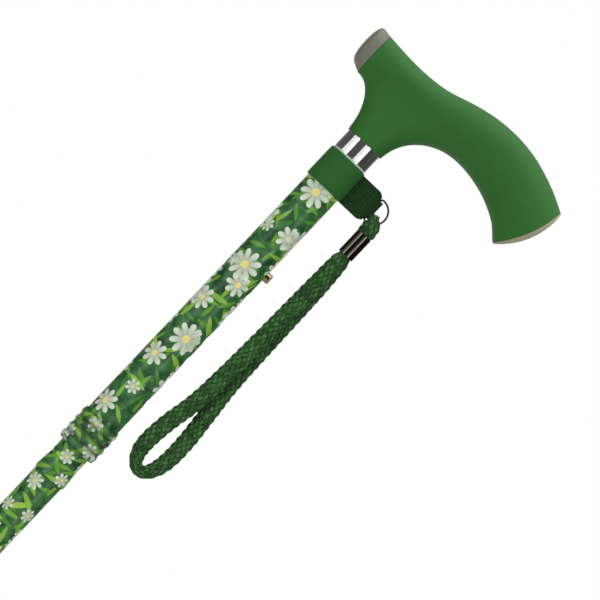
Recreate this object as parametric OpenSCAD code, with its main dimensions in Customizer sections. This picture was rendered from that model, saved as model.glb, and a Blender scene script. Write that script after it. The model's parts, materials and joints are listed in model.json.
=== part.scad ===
// Folding walking cane with a derby handle, a height setting and a wrist loop.
// Millimetres. Origin at the centre of the foot's ground face, +Z up the shaft,
// +X towards the tail of the handle. The cane stands at its lowest height setting.

/* [Shaft] */
// Outside diameter of the upper tube
upper_tube_d = 22.2; // [21.6:0.1:23]
// Wall of the upper tube
upper_tube_wall = 1.2; // [1:0.05:1.3]
// Length of the upper tube
upper_tube_length = 229.9; // [215:0.1:260]
// Outside diameter of the height tube and the folding sections
lower_tube_d = 19; // [18.4:0.05:19.2]
// Wall of the height tube and the folding sections
lower_tube_wall = 1.2; // [1:0.05:1.3]
// Distance from one fold joint to the next
section_length = 174.8; // [160:0.2:200]
// Length of height tube that shows below the end collar
height_tube_show = 21.5; // [18:0.5:30]

/* [Height setting] */
// Number of holes in the row
hole_count = 7; // [4:1:7]
// Distance from the end collar up to the lowest hole
lowest_hole_rise = 23.9; // [15:0.1:35]
// Room between the handle's plug and the height tube's top bush
top_room = 17.8; // [14:0.2:24]
// Distance from the top of the height tube down to the button
button_drop = 27.2; // [24:0.2:34]
// Diameter of the snap button
button_d = 6; // [5:0.1:7]
// How far the button stands out of the upper tube
button_proud = 3.2; // [2:0.1:4]
// Radial clearance of the button in its holes
button_clearance = 0.3; // [0.2:0.05:0.5]
// Thickness of the spring strip
spring_strip = 0.7; // [0.5:0.05:0.9]
// Width of the spring strip
spring_width = 6; // [5:0.5:7]
// Length of the spring's legs below the button
spring_leg = 34; // [25:1:45]

/* [Fold joints] */
// Diameter of the tapered plug at its root
plug_root_d = 16; // [15.4:0.1:16.2]
// Length of the tapered plug
plug_length = 18; // [14:0.5:18.5]
// Half angle of the taper
plug_taper = 12; // [11.5:0.5:14]
// Clearance of the plug in its socket, measured across the axis
plug_clearance = 0.2; // [0.15:0.05:0.4]
// Thickness of the plug's flange between two tubes
plug_flange = 1.2; // [0.8:0.1:2]
// Length of plug inside its own tube
plug_stem = 20; // [12:1:30]
// Outside diameter of a tube's widened socket mouth
mouth_d = 20.6; // [20.2:0.1:21.4]
// Length over which the tube widens to its mouth
mouth_length = 12; // [8:0.5:16]
// Length of the socket bush
bush_length = 26; // [22:0.5:32]
// Diameter of the elastic cord
cord_d = 3.5; // [2.5:0.1:4]
// Thickness of each cord anchor
anchor_length = 12; // [8:1:16]
// Distance from the spring's bend down to the upper cord anchor
anchor_drop = 36.2; // [30:0.2:60]
// Distance from the rubber foot up to the lower cord anchor
anchor_rise = 24; // [18:1:40]

/* [End collar] */
// Length of the ribbed collar
collar_length = 22; // [18:0.5:26]
// Length of collar below the end of the upper tube
collar_lip = 3; // [2:0.5:5]
// Wall of the collar between its ribs
collar_wall = 0.7; // [0.6:0.05:1]
// Number of ribs
rib_count = 4; // [3:1:5]
// Height of a rib
rib_height = 0.75; // [0.3:0.05:0.9]

/* [Handle] */
// Length of the fixing plug inside the handle
neck_plug_up = 40; // [30:1:44]
// Length of the fixing plug inside the upper tube
neck_plug_down = 40; // [36:1:60]
// Width of the grip at the nose
nose_width = 23.2; // [21:0.2:26]
// Width of the grip under the palm
palm_width = 29.2; // [26:0.2:32]
// Width of the grip at the tail
tail_width = 30; // [26:0.2:33]
// Diameter of the neck where it meets the ferrule
neck_d = 24.5; // [24.2:0.1:26]
// Thickness of the tail cap at its top and bottom ends
tail_cap_rim = 0.9; // [0.6:0.1:2.5]
// Extra thickness of the tail cap half-way between its ends
tail_cap_swell = 1.4; // [0.4:0.1:2.5]
// Rise of the tail cap's middle above its rim
tail_cap_dome = 0.8; // [0.4:0.1:2]
// Bow of the tail's end, seen from the side
tail_end_bow = 3.4; // [2:0.1:5]
// Rise of the grip's end in the middle, under the tail cap
tail_end_dome = 0.4; // [0.2:0.1:1]
// Length of the bright ferrule
ferrule_length = 11.3; // [9:0.1:12]
// Wall of the bright ferrule
ferrule_wall = 0.4; // [0.3:0.05:0.6]
// Diameter of the cross pin
pin_d = 3; // [2:0.5:4]

/* [Strap] */
// Width of the strap band
band_width = 20; // [18:0.5:21]
// Thickness of the strap band
band_thickness = 1.2; // [0.8:0.1:1.6]
// Bare tube between the ferrule and the band
band_gap = 1.8; // [1:0.1:3]
// Thickness of the sewn tab
tab_thickness = 3; // [2.4:0.1:3.6]
// Distance from the shaft's axis to the bar of the D-ring
ring_bar_x = 28.4; // [28:0.1:29]
// Radius of the D-ring's bow
ring_bow = 7.6; // [7.4:0.1:8]
// Diameter of the D-ring's wire
ring_wire = 1.2; // [1:0.1:1.6]
// Clearance around the wire
ring_clearance = 0.3; // [0.25:0.05:0.4]
// Outside diameter of the crimp on the wrist cord
crimp_d = 9.8; // [9.4:0.1:10.4]
// Length of the crimp
crimp_length = 15.6; // [13:0.2:16]
// Wall of the crimp
crimp_wall = 0.6; // [0.5:0.05:0.8]

/* [Foot] */
// Diameter of the foot on the ground
foot_d = 34; // [30:0.5:36]
// Height of the rubber foot
foot_height = 46; // [38:1:55]
// Thickness of rubber under the tube
foot_floor = 11; // [8:0.5:14]
// Wall of the foot's sleeve
foot_wall = 2.6; // [2:0.1:3.5]
// Thickness of the steel washer
washer_thickness = 1.6; // [1:0.1:2.5]

/* [Hidden] */
$fn = 64;

print_green = "#4f8a4a";
grip_green = "#2f6a31";
strap_green = "#2c5f33";
cord_green = "#245034";
grey = "#8d8880";
chrome = "#d4d6d8";
nylon = "#2b2b2b";
green_nylon = "#1e4a2f";
rubber = "#232323";
steel = "#9a9ea3";

// Gap between pieces that are pressed or bonded together
fit_gap = 0.05;
// Gap at a seat between two pieces that part
seat_gap = 0.3;
// Radial clearance of a sliding fit
slide_gap = 0.15;

upper_r = upper_tube_d / 2;
upper_bore_r = upper_r - upper_tube_wall;
lower_r = lower_tube_d / 2;
lower_bore_r = lower_r - lower_tube_wall;
mouth_r = mouth_d / 2;
mouth_rim = 2;

joint_upper_z = 3 * section_length;
joint_middle_z = 2 * section_length;
joint_lower_z = section_length;
collar_z = joint_upper_z + height_tube_show;
upper_tube_z = collar_z + collar_lip;
neck_z = upper_tube_z + upper_tube_length;
bush_head = 6;
bush_stem = 10;
height_tube_top = neck_z - neck_plug_down - top_room - bush_head;
button_z = height_tube_top - button_drop;
hole_pitch = (button_z - collar_z - collar_length - lowest_hole_rise) / (hole_count - 1);
hole_r = button_d / 2 + button_clearance;

plug_root_r = plug_root_d / 2;
plug_tip_r = plug_root_r - plug_length * tan(plug_taper);
cord_r = cord_d / 2;
cord_bore_r = cord_r + 0.65;
anchor_bore_r = cord_r + 0.3;
knot_r = 2 * cord_r;
tube_end_drop = seat_gap + plug_flange;

band_r = upper_r + band_thickness + fit_gap;
band_top = neck_z - ferrule_length - band_gap;
band_z = band_top - band_width;
ring_z = band_top - band_width / 2;
wire_r = ring_wire / 2;
ring_corner = 1.5;
eye_x = 35;
crimp_top = band_z - 3.6;
crimp_bottom = crimp_top - crimp_length;

// Curve through four points in a row, at u from the second to the third
function through(a, b, c, d, u) =
    b + u * (c - a) / 2
    + u * u * (2 * a - 5 * b + 4 * c - d) / 2
    + u * u * u * (3 * b - a - 3 * c + d) / 2;

function clamped(list, i) = list[max(0, min(len(list) - 1, i))];

// A smooth row of points through a list of points, with steps points per span
function smooth_row(list, steps) = [
    for (i = [0 : len(list) - 2])
        for (k = [0 : (i == len(list) - 2 ? steps : steps - 1)])
            through(clamped(list, i - 1), list[i], list[i + 1], clamped(list, i + 2), k / steps)
];

function mean(ring) = [for (k = [0 : 2]) [for (p = ring) p[k]] * [for (p = ring) 1] / len(ring)];

// Closed skin over a row of rings that all have the same number of points
module skin(rings) {
    rows = len(rings);
    sides = len(rings[0]);
    points = concat([for (ring = rings) each ring], [mean(rings[0]), mean(rings[rows - 1])]);
    walls = [
        for (r = [0 : rows - 2])
            for (s = [0 : sides - 1])
                let (a = r * sides + s, b = r * sides + (s + 1) % sides)
                    each [[a, b, a + sides], [b, b + sides, a + sides]]
    ];
    first_end = [for (s = [0 : sides - 1]) [rows * sides, (s + 1) % sides, s]];
    base = (rows - 1) * sides;
    last_end = [for (s = [0 : sides - 1]) [rows * sides + 1, base + s, base + (s + 1) % sides]];
    polyhedron(points, concat(walls, first_end, last_end), convexity = 6);
}

// Ring wall between two radii
module sleeve(z_low, z_high, r_out, r_in) {
    translate([0, 0, z_low])
        difference() {
            cylinder(r = r_out, h = z_high - z_low);
            translate([0, 0, -1])
                cylinder(r = r_in, h = z_high - z_low + 2);
        }
}

/* Handle: each station is [top x, top height, bottom x, bottom height, half width], with heights above
   the neck's lower face. The first stations stand upright, one pitch apart, and the tail ones lean. */
station_start = -30;
station_pitch = 15;
grip_stations = [
    [-30, 53.4, -30, 26.5, nose_width / 2],
    [-15, 52.1, -15, 26.8, nose_width / 2 + 0.8],
    [0, 51.9, 0, 26.5, neck_d / 2 + 0.8],
    [15, 53.7, 15, 26.8, palm_width / 2 - 1.2],
    [30, 58.2, 30, 27.3, palm_width / 2 - 0.6],
    [45, 61.2, 45, 28.2, palm_width / 2],
    [60.5, 61.7, 57.5, 26.7, palm_width / 2 + 0.4],
    [76, 59.5, 69.5, 23.2, tail_width / 2 + 0.4],
    [91, 54.4, 80.2, 17.6, tail_width / 2 + 0.5],
    [99, 50.7, 85, 13.4, tail_width / 2 + 0.3],
    [105.3, 47.4, 89.2, 9.2, tail_width / 2 - 0.2]
];
// The flat between the grip and the nose cap, the cap's edge and its domed face
nose_stations = [
    grip_stations[0],
    [-35.8, 54.3, -35.6, 29.2, nose_width / 2 + 0.3],
    [-37.5, 53, -37.3, 31.1, nose_width / 2 - 1.2],
    [-38.4, 49.6, -38.3, 34.5, nose_width / 2 - 4],
    [-38.8, 45, -38.8, 39, nose_width / 2 - 8.6]
];
grip_fullness = 2.3;
grip_sides = 36;
upper_steps = 16;
lower_steps = 9;
// The neck flares out of its round end along a quarter ellipse on each side
flare_height = 28.6;
flare_nose = 20.5;
flare_tail = 33;

function full(t) = sign(t) * pow(abs(t), 2 / grip_fullness);

function middle_height(s) = (s[1] + s[3]) / 2;

// Place of the station's leaning plane at a height
function plane_x(s, h) = s[2] + (h - s[3]) * (s[0] - s[2]) / (s[1] - s[3]);

function station_at(u) =
    let (i = min(floor(u), len(grip_stations) - 2))
        through(clamped(grip_stations, i - 1), grip_stations[i], grip_stations[i + 1],
            clamped(grip_stations, i + 2), u - i);

// Half width of the bar, and of the flared neck under it, at a height
function bar_half(s, h) =
    let (up = abs(h - middle_height(s)) / (s[1] - middle_height(s)))
        up < 1 ? s[4] * pow(1 - pow(up, grip_fullness), 1 / grip_fullness) : 0;

function neck_half(x, h) =
    let (spread = 1 - sqrt(1 - pow(min(h / flare_height, 1), 2)),
         nose_x = -neck_d / 2 - flare_nose * spread,
         tail_x = neck_d / 2 + flare_tail * spread,
         off = (2 * x - nose_x - tail_x) / (tail_x - nose_x))
        abs(off) < 1 ? (neck_d / 2 + 0.2 * spread) * sqrt(1 - off * off) : 0;

// Lowest height of the flared neck at a distance from the shaft's axis
function keel(x) =
    let (past = (abs(x) - neck_d / 2) / (x < 0 ? flare_nose : flare_tail))
        past <= 0 ? 0 : past >= 1 ? flare_height : flare_height * sqrt(1 - pow(1 - past, 2));

// One ring round the handle, over the top of the bar and down to the bar's or the neck's underside
function handle_ring(s) =
    let (mid = middle_height(s), low = min(s[3], keel(s[2])), end = low > 0 ? 0.94 : 1,
         heights = [for (i = [1 : lower_steps]) mid - (mid - low) * sin(90 * end * i / lower_steps)],
         halves = [for (h = heights) max(bar_half(s, h), neck_half(plane_x(s, h), h))])
    concat(
        [for (i = [0 : upper_steps])
            let (a = 180 * i / upper_steps, h = mid + (s[1] - mid) * full(sin(a)))
                [plane_x(s, h), s[4] * full(cos(a)), neck_z + h]],
        [for (i = [0 : lower_steps - 1])
            [plane_x(s, heights[i]), -halves[i], neck_z + heights[i]]],
        [[plane_x(s, low), 0, neck_z + low]],
        [for (i = [lower_steps - 1 : -1 : 0])
            [plane_x(s, heights[i]), halves[i], neck_z + heights[i]]]);

function grip_ring(s) = [
    for (i = [0 : grip_sides - 1])
        let (up = full(sin(360 * i / grip_sides)), out = full(cos(360 * i / grip_sides)))
            [(s[0] + s[2]) / 2 + up * (s[0] - s[2]) / 2,
             out * s[4],
             neck_z + middle_height(s) + up * (s[1] - s[3]) / 2]
];

// Rings crowd together where the flare turns down into the neck
flare_x = concat(
    [for (a = [75 : -15 : 15]) -neck_d / 2 - flare_nose * (1 - cos(a))],
    [for (a = [0 : 18 : 180]) -neck_d / 2 * cos(a)],
    [for (a = [15 : 15 : 75]) neck_d / 2 + flare_tail * (1 - cos(a))]);
handle_places = concat(
    [0],
    [for (x = flare_x) (x - station_start) / station_pitch],
    [for (u = [5 : 0.5 : len(grip_stations) - 1.5]) u]);

// Rings on the tail's end: bowed from top to bottom, shrunk by the cosine while they rise by the sine
tail_station = grip_stations[len(grip_stations) - 1];
tail_middle = [(tail_station[0] + tail_station[2]) / 2, 0, neck_z + middle_height(tail_station)];
tail_half = [tail_station[0] - tail_station[2], 0, tail_station[1] - tail_station[3]] / 2;
tail_out = [tail_half[2], 0, -tail_half[0]] / norm(tail_half);

function tail_ring(a, base, rise, swell = 0) = [
    for (p = handle_ring(tail_station))
        let (from_middle = (p - tail_middle) * cos(a),
             up = from_middle * tail_half / (tail_half * tail_half),
             bow = (tail_end_bow + swell) * (1 - up * up))
            tail_middle + from_middle + tail_out * (base + bow + rise * sin(a))
];

module handle_grip() {
    color(grip_green)
        difference() {
            skin(concat(
                [for (u = handle_places) handle_ring(station_at(u))],
                [for (a = [0 : 15 : 75]) tail_ring(a, 0, tail_end_dome)]));
            translate([0, 0, neck_z - 1])
                cylinder(r = upper_bore_r, h = neck_plug_up + 1 + fit_gap);
        }
}

module nose_cap() {
    color(grey)
        skin([for (i = [len(nose_stations) - 1 : -1 : 0]) grip_ring(nose_stations[i])]);
}

// The tail cap is a shell: up the inside from its middle to the rim, then over the outside
module tail_cap() {
    color(grey)
        skin(concat(
            [for (a = [75 : -15 : 0]) tail_ring(a, fit_gap, tail_end_dome)],
            [for (a = [0 : 15 : 75]) tail_ring(a, tail_cap_rim, tail_cap_dome, tail_cap_swell)]));
}

module neck_plug() {
    color(steel)
        difference() {
            translate([0, 0, neck_z - neck_plug_down])
                cylinder(r = upper_bore_r - fit_gap, h = neck_plug_down + neck_plug_up);
            translate([0, 0, ring_z])
                rotate([90, 0, 0])
                    cylinder(d = pin_d, h = 4 * upper_r, center = true);
        }
}

module plug_pin() {
    color(steel)
        translate([0, 0, ring_z])
            rotate([90, 0, 0])
                cylinder(r = pin_d / 2 - fit_gap / 2, h = 2 * upper_r - 0.6, center = true);
}

module neck_ferrule() {
    color(chrome)
        sleeve(neck_z - ferrule_length, neck_z - fit_gap,
            upper_r + fit_gap + ferrule_wall, upper_r + fit_gap);
}

module upper_tube() {
    color(print_green)
        difference() {
            sleeve(upper_tube_z, neck_z - fit_gap, upper_r, upper_bore_r);
            for (i = [0 : hole_count - 1])
                translate([0, 0, button_z - i * hole_pitch])
                    rotate([0, 90, 0])
                        cylinder(r = hole_r, h = 2 * upper_r);
            translate([0, 0, ring_z])
                rotate([90, 0, 0])
                    cylinder(d = pin_d, h = 4 * upper_r, center = true);
        }
}

// Collar with soft ribs round it, a seat for the tube's end and a lip that guides the height tube
module end_collar() {
    wall_r = upper_r + fit_gap + collar_wall;
    rib_points = [for (i = [0 : rib_count * 8])
        [wall_r + rib_height * (1 - cos(360 * i / 8)) / 2, collar_length * i / (rib_count * 8)]];
    color(print_green)
        translate([0, 0, collar_z])
            rotate_extrude()
                polygon(concat(
                    rib_points,
                    [[upper_r + fit_gap, collar_length], [upper_r + fit_gap, collar_lip],
                     [lower_r + slide_gap, collar_lip], [lower_r + slide_gap, 0]]));
}

// Outline of the sewn tab, seen from the side: straight edges, then cut back to the D-ring's bar
tab_corner_x = 25.4;
tab_end_x = ring_bar_x - wire_r - ring_clearance - 0.2;
tab_end_half = ring_bow - ring_corner - 0.2;
module tab_outline() {
    polygon(concat(
        [[upper_r + fit_gap + band_thickness / 2, band_z]],
        [for (a = [0 : 15 : 90])
            [tab_corner_x + (tab_end_x - tab_corner_x) * sin(a),
             ring_z - tab_end_half - (band_width / 2 - tab_end_half) * cos(a)]],
        [[ring_bar_x, ring_z - tab_end_half], [ring_bar_x, ring_z + tab_end_half]],
        [for (a = [90 : -15 : 0])
            [tab_corner_x + (tab_end_x - tab_corner_x) * sin(a),
             ring_z + tab_end_half + (band_width / 2 - tab_end_half) * cos(a)]],
        [[upper_r + fit_gap + band_thickness / 2, band_top]]));
}

module strap_band() {
    loop_r = tab_thickness / 2;
    color(strap_green)
        difference() {
            union() {
                sleeve(band_z, band_top, band_r, upper_r + fit_gap);
                rotate([90, 0, 0])
                    linear_extrude(tab_thickness, center = true)
                        tab_outline();
                translate([ring_bar_x, 0, ring_z - tab_end_half])
                    cylinder(r = loop_r, h = 2 * tab_end_half);
            }
            translate([ring_bar_x, 0, band_z - 1])
                cylinder(r = wire_r + ring_clearance, h = band_width + 2);
        }
}

// D-ring: a straight bar in the tab, two small corners and a round bow
module strap_ring() {
    bar = ring_bow - ring_corner;
    color(steel) {
        translate([ring_bar_x, 0, ring_z - bar])
            cylinder(r = wire_r, h = 2 * bar);
        for (side = [0, 1])
            translate([0, 0, ring_z])
                mirror([0, 0, side])
                    translate([ring_bar_x + ring_corner, 0, bar])
                        rotate([90, 0, 0])
                            rotate([0, 0, 90])
                                rotate_extrude(angle = 90)
                                    translate([ring_corner, 0])
                                        circle(r = wire_r);
        translate([ring_bar_x + ring_corner, 0, ring_z])
            rotate([90, 0, 0])
                rotate([0, 0, -90])
                    rotate_extrude(angle = 180)
                        translate([ring_bow, 0])
                            circle(r = wire_r);
    }
}

// Folded end of the cord over the D-ring: two layers joined over the wire
eye_width = 9.4;
eye_height = 11.6;
eye_gap = 4.8;
eye_open_gap = 6.2;
eye_depth = 9.2;
eye_wire_top = 1.8;
module cord_eye() {
    neck = crimp_d / 2 - crimp_wall - fit_gap;
    color(cord_green)
        difference() {
            union() {
                intersection() {
                    translate([eye_x, 0, crimp_top + fit_gap])
                        rotate([90, 0, 0])
                            linear_extrude(eye_depth, center = true)
                                polygon([[-eye_width / 2 + 0.6, 0], [eye_width / 2 - 0.6, 0],
                                    [eye_width / 2, 4], [eye_width / 2 - 0.8, eye_height - 2.4],
                                    [eye_width / 2 - 2.6, eye_height],
                                    [-eye_width / 2 + 1.6, eye_height - 1.2],
                                    [-eye_width / 2, eye_height - 3.2], [-eye_width / 2, 4]]);
                    translate([eye_x, 0, crimp_top + fit_gap]) {
                        translate([-eye_width, -eye_depth / 2, 0])
                            cube([2 * eye_width, eye_depth, eye_height - eye_depth / 2]);
                        translate([0, 0, eye_height - eye_depth / 2])
                            rotate([0, 90, 0])
                                cylinder(d = eye_depth, h = 2 * eye_width, center = true);
                    }
                }
                translate([eye_x, 0, crimp_top - crimp_length / 2])
                    cylinder(r = neck, h = crimp_length / 2 + 1);
            }
            translate([eye_x - eye_width, -eye_gap / 2, crimp_top + 2.6])
                cube([2 * eye_width, eye_gap, eye_height - 2.6 - eye_wire_top]);
            translate([eye_x + 0.4, -eye_open_gap / 2, crimp_top + 2.6])
                cube([eye_width, eye_open_gap, eye_height]);
        }
}

module cord_crimp() {
    color(chrome)
        translate([eye_x, 0, 0])
            sleeve(crimp_bottom, crimp_top, crimp_d / 2, crimp_d / 2 - crimp_wall);
}

/* Wrist loop: middle of the flat cord from the crimp, down the front leg, round the turn and back
   up the rear leg. Each point is [x, y, height above the crimp's lower end, half width, half depth]. */
loop_points = [
    [34.8, -2.1, 7.5, 3.2, 1.9],
    [34.8, -2.1, 0.2, 3.2, 1.9],
    [34.2, -2.5, -5, 4.2, 2.1],
    [34, -2.8, -20, 4.6, 2.4],
    [33.5, -2.8, -40, 4.6, 2.4],
    [33, -2.8, -65, 4.7, 2.4],
    [32, -2.8, -95, 4.8, 2.4],
    [30.5, -2.8, -116, 4.8, 2.4],
    [27, -2.6, -136, 4.8, 2.4],
    [25.8, -1.8, -152, 4.6, 2.6],
    [28, -0.8, -161, 3.8, 3.1],
    [33, 0, -165.4, 3.1, 3.4],
    [38.2, 0.8, -162, 3.8, 3.1],
    [41.5, 1.8, -152, 4.6, 2.6],
    [41.8, 2.6, -136, 4.8, 2.4],
    [40, 2.8, -116, 4.8, 2.4],
    [38, 2.8, -95, 4.8, 2.4],
    [37.3, 2.8, -65, 4.7, 2.4],
    [37, 2.8, -40, 4.6, 2.4],
    [36.5, 2.8, -20, 4.6, 2.4],
    [35.8, 2.5, -5, 4.2, 2.1],
    [35.2, 2.1, 0.2, 3.2, 1.9],
    [35.2, 2.1, 7.5, 3.2, 1.9]
];
cord_sides = 10;

function loop_ring(row, i) =
    let (p = row[i], a = clamped(row, i - 1), b = clamped(row, i + 1),
         run = [b[0] - a[0], b[2] - a[2]] / norm([b[0] - a[0], b[2] - a[2]]))
    [for (k = [0 : cord_sides - 1])
        let (turn = 360 * k / cord_sides, out = p[3] * cos(turn))
            [p[0] + run[1] * out, p[1] + p[4] * sin(turn), crimp_bottom + p[2] - run[0] * out]];

module wrist_cord() {
    row = smooth_row(loop_points, 3);
    color(cord_green)
        skin([for (i = [len(row) - 1 : -1 : 0]) loop_ring(row, i)]);
}

// Tube whose lower end widens to a socket mouth
module mouth_tube(z_low, z_high) {
    rotate_extrude()
        polygon([
            [mouth_r - lower_tube_wall, z_low], [mouth_r, z_low], [mouth_r, z_low + mouth_rim],
            [lower_r, z_low + mouth_length], [lower_r, z_high], [lower_bore_r, z_high],
            [lower_bore_r, z_low + mouth_length], [mouth_r - lower_tube_wall, z_low + mouth_rim]]);
}

module height_tube() {
    color(print_green)
        difference() {
            mouth_tube(joint_upper_z, height_tube_top);
            translate([0, 0, button_z])
                rotate([0, 90, 0])
                    cylinder(r = hole_r, h = 2 * lower_r);
        }
}

// Cap that centres the height tube in the upper tube's bore
module top_bush() {
    color(nylon)
        difference() {
            union() {
                translate([0, 0, height_tube_top])
                    cylinder(r = upper_bore_r - slide_gap, h = bush_head);
                translate([0, 0, height_tube_top - bush_stem])
                    cylinder(r = lower_bore_r - fit_gap, h = bush_stem + 1);
            }
            translate([0, 0, height_tube_top - bush_stem - 1])
                cylinder(r = lower_bore_r - 2.5, h = bush_stem + bush_head + 2);
        }
}

// Folded strip: one leg behind the button, one leg against the far wall
flange_back = lower_bore_r - 2.1;
flange_r = button_d / 2 + 1.2;
spring_bend = 4.85;
spring_near = flange_back - 0.1 - spring_strip / 2;
spring_far = lower_bore_r - 1.25;
spring_bend_z = button_z - spring_leg;
spring_line = concat(
    [[spring_near + 3 * (spring_near - spring_bend) / spring_leg, button_z + 3]],
    [for (a = [0 : 15 : 180]) [spring_bend * cos(a), spring_bend_z - spring_bend * sin(a)]],
    [[-spring_far, button_z + 6]]);

// Point beside the strip's middle line, half its thickness away
function spring_side(i, side) =
    let (run = clamped(spring_line, i + 1) - clamped(spring_line, i - 1))
        spring_line[i] + side * spring_strip / 2 * [run[1], -run[0]] / norm(run);

module button_spring() {
    last = len(spring_line) - 1;
    color(steel)
        rotate([90, 0, 0])
            linear_extrude(spring_width, center = true)
                polygon(concat(
                    [for (i = [0 : last]) spring_side(i, 1)],
                    [for (i = [last : -1 : 0]) spring_side(i, -1)]));
}

// Round button with a softened end and a flange inside the height tube
module snap_button() {
    tip = upper_r + button_proud;
    r = button_d / 2;
    soft = 0.9;
    color("#b8a06a")
        translate([0, 0, button_z])
            rotate([0, 90, 0])
                rotate_extrude()
                    polygon(concat(
                        [[0, flange_back], [flange_r, flange_back], [flange_r, flange_back + 0.9],
                         [r, flange_back + 0.9]],
                        [for (a = [0 : 15 : 90]) [r - soft + soft * cos(a), tip - soft + soft * sin(a)]],
                        [[0, tip]]));
}

// Disc pressed in a tube to hold the elastic cord's knot
module cord_anchor(z_low) {
    color(nylon)
        sleeve(z_low, z_low + anchor_length, lower_bore_r - fit_gap, anchor_bore_r);
}
spring_low_z = spring_bend_z - spring_bend - spring_strip / 2;
upper_anchor_z = spring_low_z - anchor_drop - anchor_length;
lower_anchor_z = foot_height + anchor_rise;

module upper_cord_anchor() {
    cord_anchor(upper_anchor_z);
}

module lower_cord_anchor() {
    cord_anchor(lower_anchor_z);
}

// Bush with a tapered seat, bonded in a socket mouth
module socket_bush(z) {
    seat_top = plug_length + 1;
    seat_r = plug_root_r + plug_clearance;
    passage_r = seat_r - seat_top * tan(plug_taper);
    color(green_nylon)
        translate([0, 0, z])
            rotate_extrude()
                polygon([
                    [seat_r, 0], [mouth_r - lower_tube_wall - fit_gap, 0],
                    [mouth_r - lower_tube_wall - fit_gap, mouth_rim],
                    [lower_bore_r - fit_gap, mouth_length], [lower_bore_r - fit_gap, bush_length],
                    [passage_r, bush_length], [passage_r, seat_top]]);
}

// Tapered plug with a flange and a stem, bonded in the top of a folding section
module joint_plug(z) {
    soft = 0.6;
    soft_r = plug_tip_r + soft * tan(plug_taper);
    color(green_nylon)
        translate([0, 0, z])
            rotate_extrude()
                polygon([
                    [cord_bore_r, plug_length], [plug_tip_r - soft, plug_length],
                    [soft_r, plug_length - soft], [plug_root_r, 0], [plug_root_r, -seat_gap],
                    [lower_r, -seat_gap], [lower_r, -tube_end_drop],
                    [lower_bore_r - fit_gap, -tube_end_drop],
                    [lower_bore_r - fit_gap, -tube_end_drop - plug_stem],
                    [cord_bore_r, -tube_end_drop - plug_stem]]);
}

module socket_bush_upper() {
    socket_bush(joint_upper_z);
}

module joint_plug_upper() {
    joint_plug(joint_upper_z);
}

module socket_bush_middle() {
    socket_bush(joint_middle_z);
}

module joint_plug_middle() {
    joint_plug(joint_middle_z);
}

module socket_bush_lower() {
    socket_bush(joint_lower_z);
}

module joint_plug_lower() {
    joint_plug(joint_lower_z);
}

module second_tube() {
    color(print_green)
        mouth_tube(joint_middle_z, joint_upper_z - tube_end_drop);
}

module third_tube() {
    color(print_green)
        mouth_tube(joint_lower_z, joint_middle_z - tube_end_drop);
}

module fourth_tube() {
    color(print_green)
        sleeve(foot_floor + washer_thickness, joint_lower_z - tube_end_drop, lower_r, lower_bore_r);
}

module foot_washer() {
    color(steel)
        sleeve(foot_floor, foot_floor + washer_thickness, lower_r - fit_gap, lower_r - 5);
}

// Rubber foot: flared base with ring grooves under it, bead round the sleeve's mouth
module rubber_foot() {
    base_r = foot_d / 2;
    sleeve_r = lower_r + foot_wall;
    bead = 0.7;
    groove = 1.4;
    color(rubber)
        difference() {
            rotate_extrude()
                polygon(concat(
                    [[0, 0], [base_r - 1, 0], [base_r, 1], [base_r, 7]],
                    [for (a = [0 : 15 : 90])
                        [sleeve_r + (base_r - sleeve_r) * (1 - sin(a)), 25 - 18 * cos(a)]],
                    [[sleeve_r, foot_height - 7], [sleeve_r + bead, foot_height - 6],
                     [sleeve_r + bead, foot_height - 1], [sleeve_r, foot_height],
                     [0, foot_height]]));
            translate([0, 0, foot_floor])
                cylinder(r = lower_r + fit_gap, h = foot_height);
            for (r = [0.42, 0.62, 0.82])
                sleeve(-1, groove, base_r * r + 1, base_r * r - 1);
        }
}

// Elastic cord: three lengths that meet in the middle of the second and third sections
second_middle = (joint_upper_z + joint_middle_z) / 2;
third_middle = (joint_middle_z + joint_lower_z) / 2;
module shock_cord(z_low, z_high) {
    color("#1d1d1d")
        translate([0, 0, z_low + fit_gap])
            cylinder(r = cord_r, h = z_high - z_low - 2 * fit_gap);
}

module shock_cord_upper() {
    knot_z = upper_anchor_z + anchor_length + seat_gap + knot_r;
    shock_cord(second_middle, knot_z);
    color("#1d1d1d")
        translate([0, 0, knot_z])
            sphere(r = knot_r);
}

module shock_cord_middle() {
    shock_cord(third_middle, second_middle);
}

module shock_cord_lower() {
    knot_z = lower_anchor_z - seat_gap - knot_r;
    shock_cord(knot_z, third_middle);
    color("#1d1d1d")
        translate([0, 0, knot_z])
            sphere(r = knot_r);
}

handle_grip();
nose_cap();
tail_cap();
neck_plug();
plug_pin();
neck_ferrule();
upper_tube();
end_collar();
strap_band();
strap_ring();
cord_eye();
cord_crimp();
wrist_cord();
height_tube();
top_bush();
button_spring();
snap_button();
upper_cord_anchor();
socket_bush_upper();
joint_plug_upper();
second_tube();
socket_bush_middle();
joint_plug_middle();
third_tube();
socket_bush_lower();
joint_plug_lower();
fourth_tube();
lower_cord_anchor();
foot_washer();
rubber_foot();
shock_cord_upper();
shock_cord_middle();
shock_cord_lower();
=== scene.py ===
import json
import math

import bpy
from mathutils import Matrix, Vector

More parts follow.
